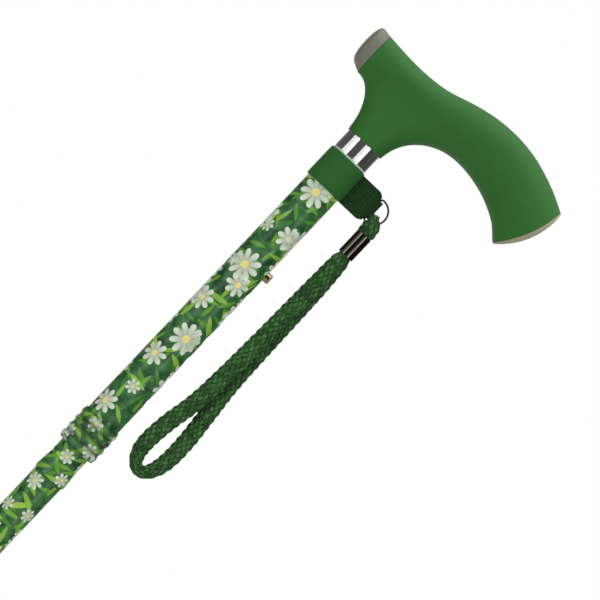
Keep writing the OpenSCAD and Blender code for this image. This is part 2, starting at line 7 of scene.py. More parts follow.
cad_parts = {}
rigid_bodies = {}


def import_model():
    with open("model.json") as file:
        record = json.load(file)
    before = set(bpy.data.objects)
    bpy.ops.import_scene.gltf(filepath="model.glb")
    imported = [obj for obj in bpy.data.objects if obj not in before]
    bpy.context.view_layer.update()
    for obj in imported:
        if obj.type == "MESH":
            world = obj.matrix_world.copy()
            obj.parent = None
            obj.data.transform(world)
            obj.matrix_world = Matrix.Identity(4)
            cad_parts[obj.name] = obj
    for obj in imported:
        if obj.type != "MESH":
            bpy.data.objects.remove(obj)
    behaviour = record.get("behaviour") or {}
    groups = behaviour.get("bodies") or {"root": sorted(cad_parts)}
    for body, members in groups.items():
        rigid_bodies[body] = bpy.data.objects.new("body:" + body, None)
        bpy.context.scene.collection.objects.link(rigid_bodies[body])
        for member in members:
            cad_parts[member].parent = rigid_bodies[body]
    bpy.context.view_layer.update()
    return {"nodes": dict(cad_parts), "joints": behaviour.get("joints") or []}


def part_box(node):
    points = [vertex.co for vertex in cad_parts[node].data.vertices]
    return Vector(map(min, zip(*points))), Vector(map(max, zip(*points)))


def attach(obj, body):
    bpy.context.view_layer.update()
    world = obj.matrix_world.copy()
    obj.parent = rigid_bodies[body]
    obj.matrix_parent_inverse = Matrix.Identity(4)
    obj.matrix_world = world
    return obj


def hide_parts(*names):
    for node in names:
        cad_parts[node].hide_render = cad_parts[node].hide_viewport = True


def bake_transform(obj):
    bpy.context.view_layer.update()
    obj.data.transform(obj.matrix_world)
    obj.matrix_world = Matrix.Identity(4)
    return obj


for leftover in list(bpy.data.objects):
    bpy.data.objects.remove(leftover)
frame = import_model()
nodes = frame["nodes"]
joints = {joint["name"]: joint for joint in frame["joints"]}

MM = 0.001

# Places that the frame gives
tube_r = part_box("upper_tube")[1].y
thin_tube_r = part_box("fourth_tube")[1].y
band_low, band_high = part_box("strap_band")
ring_low, ring_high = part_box("strap_ring")
crimp_low, crimp_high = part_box("cord_crimp")
ring_bar = Vector(joints["ring_swing"]["pos_m"])
wire_r = ring_high.y


# Camera

PHOTO_MIDDLE = Vector((33.7, 0, 691.4)) * MM
PHOTO_WIDTH = 333 * MM
PHOTO_RIGHT = Vector((0.7267, 0, 0.6870)).normalized()
PHOTO_UP = Vector((-0.6870, 0, 0.7267)).normalized()
LENS_MM = 200
SENSOR_MM = 36


def add_camera():
    """Long lens that looks along +Y, rolled as the cane lies in the photograph."""
    data = bpy.data.cameras.new("photo_camera")
    data.lens = LENS_MM
    data.sensor_width = SENSOR_MM
    data.clip_end = 100
    camera = bpy.data.objects.new("photo_camera", data)
    bpy.context.scene.collection.objects.link(camera)
    distance = PHOTO_WIDTH * data.lens / data.sensor_width
    back = PHOTO_RIGHT.cross(PHOTO_UP)
    turn = Matrix((PHOTO_RIGHT, PHOTO_UP, back)).transposed().to_4x4()
    camera.matrix_world = Matrix.Translation(PHOTO_MIDDLE + back * distance) @ turn
    bpy.context.scene.camera = camera


add_camera()


# Mesh helpers

CAD_WELD = 1e-5
END_SHARE = 1e-5


def activate(piece):
    bpy.ops.object.select_all(action="DESELECT")
    piece.select_set(True)
    bpy.context.view_layer.objects.active = piece


def apply_modifier(piece, kind, **settings):
    activate(piece)
    modifier = piece.modifiers.new(kind.lower(), kind)
    for name, value in settings.items():
        setattr(modifier, name, value)
    bpy.ops.object.modifier_apply(modifier=modifier.name)


def weld(piece, distance=1e-6):
    """Merges doubled vertices and turns every face outwards."""
    activate(piece)
    bpy.ops.object.mode_set(mode="EDIT")
    bpy.ops.mesh.select_all(action="SELECT")
    bpy.ops.mesh.remove_doubles(threshold=distance)
    bpy.ops.mesh.normals_make_consistent(inside=False)
    bpy.ops.object.mode_set(mode="OBJECT")


def is_end(share):
    """Whether a share of a length is one of its ends, as near as a grid's rows come to them."""
    return min(share, 1 - share) < END_SHARE


def laid_grid(name, columns, rows, place):
    """A grid with each vertex laid at place(across, along), both from 0 to 1."""
    bpy.ops.object.select_all(action="DESELECT")
    bpy.ops.mesh.primitive_grid_add(x_subdivisions=columns, y_subdivisions=rows, size=1)
    piece = bpy.context.object
    piece.name = piece.data.name = name
    for vertex in piece.data.vertices:
        vertex.co = place(vertex.co.x + 0.5, vertex.co.y + 0.5)
    weld(piece)
    bpy.ops.object.shade_smooth()
    return piece


def joined(name, pieces):
    activate(pieces[0])
    for piece in pieces:
        piece.select_set(True)
    bpy.ops.object.join()
    pieces[0].name = pieces[0].data.name = name
    return pieces[0]


def node_copy(node, name):
    """A welded copy of a CAD node's mesh, with no material yet."""
    piece = bpy.data.objects.new(name, nodes[node].data.copy())
    bpy.context.scene.collection.objects.link(piece)
    piece.data.name = name
    piece.data.materials.clear()
    weld(piece, CAD_WELD)
    return piece


def refined_copy(node, name, edge, levels, passes):
    """A copy of a CAD node with its facets rounded out and a soft edge where two faces meet sharply."""
    piece = node_copy(node, name)
    bpy.ops.object.mode_set(mode="EDIT")
    bpy.ops.mesh.customdata_custom_splitnormals_clear()
    bpy.ops.mesh.select_all(action="SELECT")
    bpy.ops.mesh.tris_convert_to_quads(face_threshold=math.radians(50), shape_threshold=math.radians(60))
    bpy.ops.object.mode_set(mode="OBJECT")
    apply_modifier(piece, "BEVEL", width=edge, segments=2, limit_method="ANGLE", angle_limit=math.radians(45))
    apply_modifier(piece, "SUBSURF", levels=levels)
    apply_modifier(piece, "SMOOTH", factor=0.5, iterations=passes)
    activate(piece)
    bpy.ops.object.shade_smooth()
    return piece


def finish_piece(piece, body, slot, material, *replaced):
    piece.data.materials.clear()
    piece.data.materials.append(material)
    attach(piece, body)
    if replaced:
        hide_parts(*replaced)


# Shader helpers

def srgb(red, green, blue):
    """Scene colour of a colour picked from 0 to 255."""
    return tuple(((c / 255 + 0.055) / 1.055) ** 2.4 if c > 10 else c / 255 / 12.92
                 for c in (red, green, blue)) + (1,)


class Wiring:
    """Adds nodes to one node tree and joins them."""

    def __init__(self, tree):
        self.tree = tree

    def feed(self, socket, value):
        if isinstance(value, bpy.types.NodeSocket):
            self.tree.links.new(value, socket)
        else:
            socket.default_value = value

    def node(self, kind, inputs=None, **settings):
        node = self.tree.nodes.new(kind)
        for name, value in settings.items():
            setattr(node, name, value)
        for name, value in (inputs or {}).items():
            self.feed(node.inputs[name], value)
        return node

    def math(self, operation, *values, clamp=False):
        node = self.node("ShaderNodeMath", operation=operation, use_clamp=clamp)
        for socket, value in zip(node.inputs, values):
            self.feed(socket, value)
        return node.outputs[0]

    def mix(self, factor, first, second):
        node = self.node("ShaderNodeMix", data_type="RGBA")
        self.feed(node.inputs["Factor"], factor)
        self.feed(node.inputs["A"], first)
        self.feed(node.inputs["B"], second)
        return node.outputs["Result"]

    def spread(self, value, low, high):
        """Value from 0 to 1 laid between two numbers."""
        return self.math("MULTIPLY_ADD", value, high - low, low)

    def stretch(self, value, gain, shift):
        """Value times a gain plus a shift, kept between 0 and 1."""
        return self.math("MULTIPLY_ADD", value, gain, shift, clamp=True)

    def root_of_squares(self, first, second):
        squares = self.math("MULTIPLY_ADD", first, first, self.math("MULTIPLY", second, second))
        return self.math("SQRT", squares)

    def group(self, tree, **inputs):
        node = self.node("ShaderNodeGroup", node_tree=tree)
        for name, value in inputs.items():
            self.feed(node.inputs[name.replace("_", " ")], value)
        return node.outputs

    def combine(self, x, y, z):
        return self.node("ShaderNodeCombineXYZ", {"X": x, "Y": y, "Z": z}).outputs[0]


def new_group(name, inputs, outputs):
    """An empty shader group whose inputs and outputs are numbers with these names."""
    tree = bpy.data.node_groups.new(name, "ShaderNodeTree")
    for side, sockets in (("INPUT", inputs), ("OUTPUT", outputs)):
        for socket in sockets:
            tree.interface.new_socket(socket, in_out=side, socket_type="NodeSocketFloat")
    wires = Wiring(tree)
    inside = wires.node("NodeGroupInput").outputs
    outside = wires.node("NodeGroupOutput").inputs
    return tree, wires, inside, outside


# Measures of the print and of its film
PRINT_EDGE = 0.25 * MM
PETAL_WAIST = 0.3
HEART_SHARE = 0.25
LEAF_RIB = 0.35 * MM
RIB_DEPTH = 0.75 * MM
# Strength of the painted shade in the collar's grooves
GROOVE_SHADE = 0.7
FILM_CUT = 1.8 * MM
TONE_STEP = 57.3
SPOT_INPUTS = ("Turn", "Height", "Radius", "Columns", "Row", "Wander", "Seed")


def unwrap_group():
    """Turn round the shaft from 0 to 1, height up it and distance from its middle in metres."""
    tree, wires, _, outside = new_group("Round the shaft", (), ("Turn", "Height", "Reach"))
    place = wires.node("ShaderNodeSeparateXYZ",
                       {"Vector": wires.node("ShaderNodeTexCoord").outputs["Object"]}).outputs
    turn = wires.math("DIVIDE", wires.math("ARCTAN2", place["Y"], place["X"]), 2 * math.pi)
    wires.feed(outside["Turn"], wires.math("ADD", turn, 0.5))
    wires.feed(outside["Height"], place["Z"])
    wires.feed(outside["Reach"], wires.root_of_squares(place["X"], place["Y"]))
    return tree


def scatter_group():
    """One wandering spot in each brick of a wall laid round the tube, with its own draws."""
    tree, wires, inside, outside = new_group(
        "Scattered spots", SPOT_INPUTS, ("X", "Z", "Spin", "Draw", "Tone"))
    rows = wires.math("DIVIDE", inside["Height"], inside["Row"])
    row = wires.math("FLOOR", rows)
    across = wires.math("MULTIPLY_ADD", inside["Turn"], inside["Columns"], wires.math("MULTIPLY", row, 0.5))
    column = wires.math("FLOORED_MODULO", wires.math("FLOOR", across), inside["Columns"])
    draws = wires.node("ShaderNodeTexWhiteNoise", {"Vector": wires.combine(column, row, inside["Seed"])})
    part = wires.node("ShaderNodeSeparateColor", {"Color": draws.outputs["Color"]}).outputs
    brick = wires.math("DIVIDE", wires.math("MULTIPLY", inside["Radius"], 2 * math.pi), inside["Columns"])

    def offset(share, size, draw):
        centred = wires.math("MULTIPLY", wires.math("SUBTRACT", share, 0.5), size)
        stray = wires.math("MULTIPLY", wires.spread(draw, -1, 1), inside["Wander"])
        return wires.math("SUBTRACT", centred, stray)

    wires.feed(outside["X"], offset(wires.math("FRACT", across), brick, part["Red"]))
    wires.feed(outside["Z"], offset(wires.math("FRACT", rows), inside["Row"], part["Green"]))
    wires.feed(outside["Spin"], wires.math("MULTIPLY", part["Blue"], 2 * math.pi))
    wires.feed(outside["Draw"], draws.outputs["Value"])
    wires.feed(outside["Tone"], wires.math("FRACT", wires.math("MULTIPLY", draws.outputs["Value"], TONE_STEP)))
    return tree


def spot_of(wires, scatter, inside):
    return wires.group(scatter, **{name: inside[name] for name in SPOT_INPUTS})


def inked(wires, room, spot, share):
    """Soft-edged mask where room is above nothing, on the drawn share of the spots."""
    edge = wires.math("DIVIDE", room, PRINT_EDGE, clamp=True)
    return wires.math("MULTIPLY", edge, wires.math("LESS_THAN", spot["Draw"], share))


def blossom_group(scatter):
    """Round daisies: masks of the petals and the heart, and how deep a petal's place is."""
    tree, wires, inside, outside = new_group(
        "Daisies", SPOT_INPUTS + ("Size", "Petals", "Share"), ("Petals", "Heart", "Shade"))
    spot = spot_of(wires, scatter, inside)
    reach = wires.root_of_squares(spot["X"], spot["Z"])
    angle = wires.math("ADD", wires.math("ARCTAN2", spot["Z"], spot["X"]), spot["Spin"])
    lobe = wires.math("ABSOLUTE", wires.math("COSINE", wires.math(
        "MULTIPLY", angle, wires.math("MULTIPLY", inside["Petals"], 0.5))))
    blunt = wires.math("POWER", lobe, 0.5)
    outline = wires.math("MULTIPLY", inside["Size"], wires.spread(blunt, PETAL_WAIST, 1))
    heart_r = wires.math("MULTIPLY", inside["Size"], HEART_SHARE)
    wires.feed(outside["Petals"], inked(wires, wires.math("SUBTRACT", outline, reach), spot, inside["Share"]))
    wires.feed(outside["Heart"], inked(wires, wires.math("SUBTRACT", heart_r, reach), spot, inside["Share"]))
    far = wires.math("DIVIDE", reach, inside["Size"], clamp=True)
    wires.feed(outside["Shade"], wires.math("MULTIPLY", far, lobe))
    return tree


def leaf_group(scatter):
    """Pointed leaves: masks of the blade and its rib, and a tone for each leaf."""
    tree, wires, inside, outside = new_group(
        "Leaves", SPOT_INPUTS + ("Length", "Breadth", "Share"), ("Blade", "Rib", "Tone"))
    spot = spot_of(wires, scatter, inside)
    cosine, sine = wires.math("COSINE", spot["Spin"]), wires.math("SINE", spot["Spin"])
    run = wires.math("MULTIPLY_ADD", spot["X"], cosine, wires.math("MULTIPLY", spot["Z"], sine))
    side = wires.math("ABSOLUTE", wires.math(
        "SUBTRACT", wires.math("MULTIPLY", spot["Z"], cosine), wires.math("MULTIPLY", spot["X"], sine)))
    along = wires.math("DIVIDE", run, inside["Length"])
    breadth = wires.math("MULTIPLY", inside["Breadth"], wires.math(
        "SUBTRACT", 1, wires.math("MULTIPLY", along, along)))
    blade = inked(wires, wires.math("SUBTRACT", breadth, side), spot, inside["Share"])
    rib = wires.math("DIVIDE", wires.math("SUBTRACT", LEAF_RIB, side), PRINT_EDGE, clamp=True)
    wires.feed(outside["Blade"], blade)
    wires.feed(outside["Rib"], wires.math("MULTIPLY", rib, blade))
    wires.feed(outside["Tone"], spot["Tone"])
    return tree


def grain_group():
    """Fine moulded grain: a height for bumps and a slow tint."""
    tree, wires, inside, outside = new_group("Moulded grain", ("Grain", "Cloud"), ("Height", "Tint"))
    place = wires.node("ShaderNodeTexCoord").outputs["Object"]
    fine = wires.node("ShaderNodeTexNoise", {"Vector": place, "Scale": inside["Grain"], "Detail": 3.0})
    slow = wires.node("ShaderNodeTexNoise", {"Vector": place, "Scale": inside["Cloud"], "Detail": 2.0})
    wires.feed(outside["Height"], fine.outputs["Fac"])
    wires.feed(outside["Tint"], slow.outputs["Fac"])
    return tree


def weave_group():
    """Plain weave on a piece's UV map, in threads along and across."""
    tree, wires, inside, outside = new_group("Webbing weave", ("Along", "Across"), ("Height",))
    place = wires.node("ShaderNodeSeparateXYZ", {"Vector": wires.node("ShaderNodeUVMap").outputs[0]}).outputs
    warp = wires.math("MULTIPLY", place["X"], inside["Across"])
    weft = wires.math("MULTIPLY", place["Y"], inside["Along"])
    square = wires.math("ADD", wires.math("FLOOR", warp), wires.math("FLOOR", weft))
    over = wires.math("FLOORED_MODULO", square, 2)
    round_warp = wires.math("SINE", wires.math("MULTIPLY", wires.math("FRACT", warp), math.pi))
    round_weft = wires.math("SINE", wires.math("MULTIPLY", wires.math("FRACT", weft), math.pi))
    low = wires.math("MULTIPLY", round_warp, wires.math("SUBTRACT", 1, over))
    wires.feed(outside["Height"], wires.math("MULTIPLY_ADD", round_weft, over, low))
    return tree


round_shaft = unwrap_group()
scattered = scatter_group()
daisies = blossom_group(scattered)
leaves = leaf_group(scattered)
moulded_grain = grain_group()
webbing_weave = weave_group()


def new_material(name, **sockets):
    """A material with one Principled shader. Sockets hold its plain values."""
    material = bpy.data.materials.new(name)
    material.use_nodes = True
    wires = Wiring(material.node_tree)
    shader = material.node_tree.nodes["Principled BSDF"]
    for socket, value in sockets.items():
        shader.inputs[socket.replace("_", " ")].default_value = value
    return material, wires, shader.inputs


def bump(wires, shader, height, distance):
    node = wires.node("ShaderNodeBump", {"Height": height, "Distance": distance, "Strength": 1.0})
    wires.feed(shader["Normal"], node.outputs[0])


ROUGH_SPREAD = 0.06


def grained(name, low, high, rough, grain, depth, cloud=60.0, **sockets):
    """Moulded or cast finish: two near colours in slow clouds, and a fine grain."""
    material, wires, shader = new_material(name, **sockets)
    grains = wires.group(moulded_grain, Grain=grain, Cloud=cloud)
    wires.feed(shader["Base Color"], wires.mix(grains["Tint"], low, high))
    wires.feed(shader["Roughness"], wires.spread(grains["Height"], rough - ROUGH_SPREAD, rough + ROUGH_SPREAD))
    bump(wires, shader, grains["Height"], depth)
    return material


# Leaves of the print as (seed, columns round the tube, row, wander, half length, half breadth, share of the
# places that are filled, darker green, lighter green)
LEAVES = (
    (3.0, 5.0, 10 * MM, 2.5 * MM, 7 * MM, 1.9 * MM, 0.95, srgb(28, 84, 44), srgb(58, 118, 54)),
    (7.0, 6.0, 9 * MM, 2 * MM, 6 * MM, 1.4 * MM, 0.8, srgb(48, 108, 44), srgb(92, 148, 48)),
    (9.0, 5.0, 11 * MM, 2.5 * MM, 6.5 * MM, 1.3 * MM, 0.7, srgb(84, 140, 44), srgb(118, 168, 56)),
    (11.0, 4.0, 16 * MM, 3.5 * MM, 7 * MM, 1.8 * MM, 0.6, srgb(104, 158, 48), srgb(150, 190, 76)))
MORE_LEAVES = (
    (13.0, 5.0, 10 * MM, 2.5 * MM, 7 * MM, 1.6 * MM, 0.85, srgb(84, 142, 44), srgb(128, 176, 60)),)
# Daisies of the print as (seed, columns round the tube, row, wander, radius, petals, share of the places that
# are filled)
SMALL_DAISIES = (17.0, 4.0, 13 * MM, 2.2 * MM, 4.4 * MM, 7.0, 0.5)
MIDDLE_DAISIES = (23.0, 3.0, 19 * MM, 2.6 * MM, 7.4 * MM, 8.0, 0.75)
LARGE_DAISIES = (53.0, 2.0, 28 * MM, 4 * MM, 9.6 * MM, 9.0, 0.9)
THIN_TUBE_DAISIES = (61.0, 3.0, 17 * MM, 2.6 * MM, 5.4 * MM, 8.0, 0.6)
GROUND_GREENS = srgb(24, 64, 36), srgb(62, 112, 62)
PETAL_WHITES = srgb(158, 172, 148), srgb(216, 225, 208)
HEART_YELLOW = srgb(222, 206, 122)
# Colour of the painted shade in the collar's grooves
GROOVE_SHADE_GREEN = srgb(14, 44, 18)
BARE_TUBE = srgb(214, 226, 214)


def printed_film(name, radius, sprigs, flowers, crest=None, cut=None):
    """Daisies and leaves on a green ground, printed round a tube under a thin lacquer.

    Where ribs stand round it, crest is their radius, and painted shade darkens the grooves between them.
    Above the height of its cut, where it has one, the bare pale tube shows."""
    material, wires, shader = new_material(name, Specular_IOR_Level=0.25, Coat_Weight=0.08, Coat_Roughness=0.2)
    shaft = wires.group(round_shaft)
    round_it = {"Turn": shaft["Turn"], "Height": shaft["Height"], "Radius": radius}
    clouds = wires.group(moulded_grain, Grain=900.0, Cloud=160.0)
    ink = wires.mix(wires.stretch(clouds["Tint"], 3.2, -1.1), *GROUND_GREENS)
    for seed, columns, row, wander, length, breadth, share, dark, light in sprigs:
        leaf = wires.group(leaves, Columns=columns, Row=row, Wander=wander, Seed=seed, Length=length,
                           Breadth=breadth, Share=share, **round_it)
        ink = wires.mix(leaf["Blade"], ink, wires.mix(leaf["Tone"], dark, light))
        ink = wires.mix(wires.math("MULTIPLY", leaf["Rib"], 0.5), ink, light)
    for seed, columns, row, wander, size, petals, share in flowers:
        daisy = wires.group(daisies, Columns=columns, Row=row, Wander=wander, Seed=seed, Size=size,
                            Petals=petals, Share=share, **round_it)
        ink = wires.mix(daisy["Petals"], ink, wires.mix(daisy["Shade"], *PETAL_WHITES))
        ink = wires.mix(daisy["Heart"], ink, HEART_YELLOW)
    if crest:
        # Painted shade: the deeper a groove lies below the ribs' crest, the darker its print
        depth = wires.math("DIVIDE", wires.math("SUBTRACT", crest, shaft["Reach"]), RIB_DEPTH, clamp=True)
        ink = wires.mix(wires.math("MULTIPLY", depth, GROOVE_SHADE), ink, GROOVE_SHADE_GREEN)
    if cut:
        bare = wires.math("DIVIDE", wires.math("SUBTRACT", shaft["Height"], cut), PRINT_EDGE, clamp=True)
        ink = wires.mix(bare, ink, BARE_TUBE)
    wires.feed(shader["Base Color"], ink)
    wires.feed(shader["Roughness"], wires.spread(clouds["Height"], 0.34, 0.44))
    bump(wires, shader, clouds["Height"], 0.01 * MM)
    return material


def webbing(name, low, high, along, across):
    """Woven strap finish, with a number of threads along and across. Its colour has slow clouds and a painted
    highlight on the raised part of each thread.
    """
    material, wires, shader = new_material(name, Specular_IOR_Level=0.15)
    weave = wires.group(webbing_weave, Along=along, Across=across)
    clouds = wires.group(moulded_grain, Grain=2500.0, Cloud=120.0)
    # Painted highlight where the weave stands high, mixed half and half with slow clouds of tone
    tint = wires.math("MULTIPLY_ADD", weave["Height"], 0.5, wires.math("MULTIPLY", clouds["Tint"], 0.5))
    wires.feed(shader["Base Color"], wires.mix(tint, low, high))
    wires.feed(shader["Roughness"], wires.spread(weave["Height"], 0.85, 0.7))
    bump(wires, shader, weave["Height"], 0.12 * MM)
    return material


# Falloff of the painted highlight on the strands' crowns, and brightness of the painted shade in their gaps
PAINTED_HIGHLIGHT_FALL = 1.2
DULLEST_STRAND = 0.1
PAINTED_GAP_BRIGHTNESS = 0.25
DARKEST_SPECK = 0.25


def braided(name, low, high):
    """Cord finish: a painted highlight on the crown of each strand and painted shade in the gaps, and uneven in
    tone from strand to strand.
    """
    material, wires, shader = new_material(name, Specular_IOR_Level=0.08)
    crown = wires.node("ShaderNodeAttribute", attribute_name="crown").outputs["Fac"]
    tone = wires.node("ShaderNodeAttribute", attribute_name="tone").outputs["Fac"]
    yarn = wires.group(moulded_grain, Grain=3200.0, Cloud=900.0)
    # Painted highlight on each strand's crown and painted shade in the gaps, times each strand's own tone
    painted_crown_light = wires.math("MULTIPLY", wires.math("POWER", crown, PAINTED_HIGHLIGHT_FALL), wires.spread(tone, DULLEST_STRAND, 1))
    speck = wires.stretch(yarn["Tint"], 2.4, -0.8)
    tint = wires.math("MULTIPLY", wires.spread(painted_crown_light, PAINTED_GAP_BRIGHTNESS, 1), wires.spread(speck, DARKEST_SPECK, 1))
    wires.feed(shader["Base Color"], wires.mix(tint, low, high))
    wires.feed(shader["Roughness"], wires.spread(crown, 0.9, 0.7))
    bump(wires, shader, yarn["Height"], 0.1 * MM)
    return material


def plated(name, tint, rough, dull):
    """Bright metal with a faint grain and slow clouds of a duller tint."""
    material, wires, shader = new_material(name, Metallic=1.0)
    clouds = wires.group(moulded_grain, Grain=1500.0, Cloud=220.0)
    wires.feed(shader["Base Color"], wires.mix(wires.math("MULTIPLY", clouds["Tint"], 0.5), tint, dull))
    wires.feed(shader["Roughness"], wires.spread(clouds["Tint"], rough * 0.6, rough * 1.4))
    bump(wires, shader, clouds["Height"], 0.002 * MM)
    return material


soft_grip = grained("soft_grip", srgb(33, 90, 27), srgb(40, 100, 33), 0.6, 2600.0, 0.03 * MM, cloud=45.0,
                    Specular_IOR_Level=0.25)
grey_cap = grained("grey_cap", srgb(100, 102, 92), srgb(116, 114, 103), 0.5, 2200.0, 0.02 * MM,
                   Specular_IOR_Level=0.3)
tail_grey = grained("tail_grey", srgb(128, 130, 104), srgb(150, 148, 120), 0.5, 2200.0, 0.02 * MM,
                    Specular_IOR_Level=0.3)
bright_chrome = plated("bright_chrome", srgb(236, 236, 238), 0.1, srgb(214, 214, 216))
dark_nickel = plated("dark_nickel", srgb(84, 78, 70), 0.09, srgb(58, 54, 48))
dark_wire = plated("dark_wire", srgb(84, 82, 80), 0.2, srgb(52, 50, 48))
brass_button = plated("brass_button", srgb(144, 132, 100), 0.18, srgb(98, 88, 64))
steel = plated("steel", srgb(170, 172, 176), 0.3, srgb(140, 142, 146))
inner_aluminium = plated("inner_aluminium", srgb(190, 192, 194), 0.35, srgb(170, 172, 174))
wide_daisies = (SMALL_DAISIES, MIDDLE_DAISIES, LARGE_DAISIES)
thin_daisies = (SMALL_DAISIES, THIN_TUBE_DAISIES)
printed_wide = printed_film("printed_wide", tube_r, LEAVES, wide_daisies,
                            cut=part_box("neck_ferrule")[0].z - FILM_CUT)
printed_thin = printed_film("printed_thin", thin_tube_r, LEAVES + MORE_LEAVES, thin_daisies)
printed_collar = printed_film("printed_collar", tube_r, LEAVES + MORE_LEAVES, wide_daisies,
                              crest=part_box("end_collar")[1].y)
green_webbing = webbing("green_webbing", srgb(32, 84, 34), srgb(48, 104, 44), 150.0, 34.0)
# The tab's finish is the band's webbing made darker: painted shade
tab_webbing_shaded = webbing("tab_webbing_shaded", srgb(13, 38, 13), srgb(26, 58, 22), 70.0, 34.0)
green_cord = braided("green_cord", srgb(6, 24, 10), srgb(92, 146, 82))
# The eye's finish is the cord's made a little darker: painted shade for the eye between the crimp and the D-ring
eye_cord_shaded = braided("eye_cord_shaded", srgb(6, 22, 10), srgb(86, 138, 78))
green_thread = grained("green_thread", srgb(24, 62, 26), srgb(38, 82, 36), 0.7, 4000.0, 0.05 * MM, cloud=400.0,
                       Specular_IOR_Level=0.2)
black_nylon = grained("black_nylon", srgb(34, 34, 35), srgb(44, 44, 45), 0.45, 1800.0, 0.02 * MM)
green_nylon = grained("green_nylon", srgb(44, 92, 54), srgb(58, 110, 64), 0.5, 1800.0, 0.02 * MM,
                      Specular_IOR_Level=0.25)
black_rubber = grained("black_rubber", srgb(34, 34, 34), srgb(52, 52, 52), 0.75, 1500.0, 0.06 * MM)
elastic_cord = grained("elastic_cord", srgb(24, 24, 25), srgb(46, 46, 47), 0.8, 2600.0, 0.1 * MM, cloud=900.0)


# Wrist cord: route of the flat braid in mm, as [x, y, height above the crimp's lower end, half width, half depth]

LOOP_ROUTE = [
    [34.8, -2.1, 7.5, 3.2, 1.9], [34.8, -2.1, 0.2, 3.2, 1.9], [34.2, -2.5, -5, 4.2, 2.1],
    [34, -2.8, -20, 4.6, 2.4], [33.5, -2.8, -40, 4.6, 2.4], [33, -2.8, -65, 4.7, 2.4],
    [32, -2.8, -95, 4.8, 2.4], [30.5, -2.8, -116, 4.8, 2.4], [27, -2.6, -136, 4.8, 2.4],
    [25.8, -1.8, -152, 4.6, 2.6], [28, -0.8, -161, 3.8, 3.1], [33, 0, -165.4, 3.1, 3.4],
    [38.2, 0.8, -162, 3.8, 3.1], [41.5, 1.8, -152, 4.6, 2.6], [41.8, 2.6, -136, 4.8, 2.4],
    [40, 2.8, -116, 4.8, 2.4], [38, 2.8, -95, 4.8, 2.4], [37.3, 2.8, -65, 4.7, 2.4],
    [37, 2.8, -40, 4.6, 2.4], [36.5, 2.8, -20, 4.6, 2.4], [35.8, 2.5, -5, 4.2, 2.1],
    [35.2, 2.1, 0.2, 3.2, 1.9], [35.2, 2.1, 7.5, 3.2, 1.9]]
BRAID_STRANDS = 8
BRAID_PITCH = 4.9 * MM
BRAID_RELIEF = 1.05 * MM
BRAID_DIP = 0.6
BRAID_SEAT = 0.6
BRAID_FULLNESS = 0.8
BRAID_CROWDING = 1 / 6
TONE_MIX = 12.99, 78.23, 43758.5
CORD_GRID = 70, 1200
CORD_LINE_STEPS = 120


def through(a, b, c, d, u):
    """Smooth curve through four numbers in a row, from the second to the third."""
    return (b + u * (c - a) / 2 + u * u * (2 * a - 5 * b + 4 * c - d) / 2
            + u ** 3 * (3 * b - a - 3 * c + d) / 2)


def smooth_row(points, steps):
    """Points of a smooth curve through a list of points, with steps to each span."""
    last = len(points) - 1
    row = []
    for i in range(last):
        near = [points[max(0, min(last, i + k))] for k in (-1, 0, 1, 2)]
        row += [[through(*values, k / steps) for values in zip(*near)] for k in range(steps)]
    return row + [list(points[last])]


class Route:
    """A smooth row of stations that can be read at any share of its length."""

    def __init__(self, points, steps=12):
        self.row = smooth_row(points, steps)
        self.reach = [0.0]
        for a, b in zip(self.row, self.row[1:]):
            self.reach.append(self.reach[-1] + math.dist(a[:3], b[:3]))
        self.length = self.reach[-1]
        self.at = 0

    def station(self, share):
        run = min(max(share, 0), 1) * self.length
        if run < self.reach[self.at]:
            self.at = 0
        while self.at < len(self.row) - 2 and run > self.reach[self.at + 1]:
            self.at += 1
        a, b = self.row[self.at], self.row[self.at + 1]
        u = (run - self.reach[self.at]) / max(1e-9, self.reach[self.at + 1] - self.reach[self.at])
        return [x + (y - x) * u for x, y in zip(a, b)], Vector(b[:3]) - Vector(a[:3])


def braid_height(turn, run):
    """Crown of the strand that lies on top, from 0 in the gaps to 1, and that strand's own tone."""
    a, b = turn * BRAID_STRANDS + run / BRAID_PITCH, turn * BRAID_STRANDS - run / BRAID_PITCH
    along, across = a % 1, b % 1
    if (math.floor(a) + math.floor(b)) % 2:
        along, across = across, along
    first, second, gain = TONE_MIX
    tone = math.sin(math.floor(a) * first + math.floor(b) * second) * gain % 1
    return math.sqrt(max(0, 1 - (2 * across - 1) ** 2)) * (1 - BRAID_DIP * (2 * along - 1) ** 4), tone


def fuller(c):
    """Rounds a circle's share out towards a flat bar's."""
    return math.copysign(abs(c) ** BRAID_FULLNESS, c)


def spot_key(spot):
    return tuple(round(c, 7) for c in spot)


def braided_tube(name, route, wide_of, around, along):
    """A flat braided tube along a route, closed at both ends. wide_of gives its broad direction.

    Each vertex keeps the crown and the tone of its strand for the finish."""
    strands = {}

    def place(turn, share):
        (x, y, z, wide, deep), run = route.station(share)
        middle = Vector((x, y, z))
        broad = wide_of(run.normalized())
        thin = broad.cross(run.normalized())
        if is_end(share):
            return middle
        angle = 2 * math.pi * turn + math.sin(4 * math.pi * turn) * BRAID_CROWDING
        crown, tone = braid_height(turn % 1, share * route.length)
        lift = (crown - BRAID_SEAT) * BRAID_RELIEF
        side, face = fuller(math.cos(angle)), fuller(math.sin(angle))
        out = broad * side * deep + thin * face * wide
        spot = middle + broad * side * wide + thin * face * deep + out.normalized() * lift
        strands[spot_key(spot)] = crown, tone
        return spot

    piece = laid_grid(name, around, along, place)
    found = [strands.get(spot_key(vertex.co), (0.5, 0.5)) for vertex in piece.data.vertices]
    for layer, values in zip(("crown", "tone"), zip(*found)):
        piece.data.attributes.new(layer, "FLOAT", "POINT").data.foreach_set("value", values)
    return piece


def wrist_cord():
    low = crimp_low.z
    route = Route([[x * MM, y * MM, low + h * MM, w * MM, d * MM] for x, y, h, w, d in LOOP_ROUTE])
    piece = braided_tube("braided_cord", route, lambda run: Vector((run.z, 0, -run.x)).normalized(), *CORD_GRID)
    return piece, route


# Eye of the cord: up out of the crimp in front of the D-ring, over its wire and down behind it. Its heights are
# above the crimp's upper end.

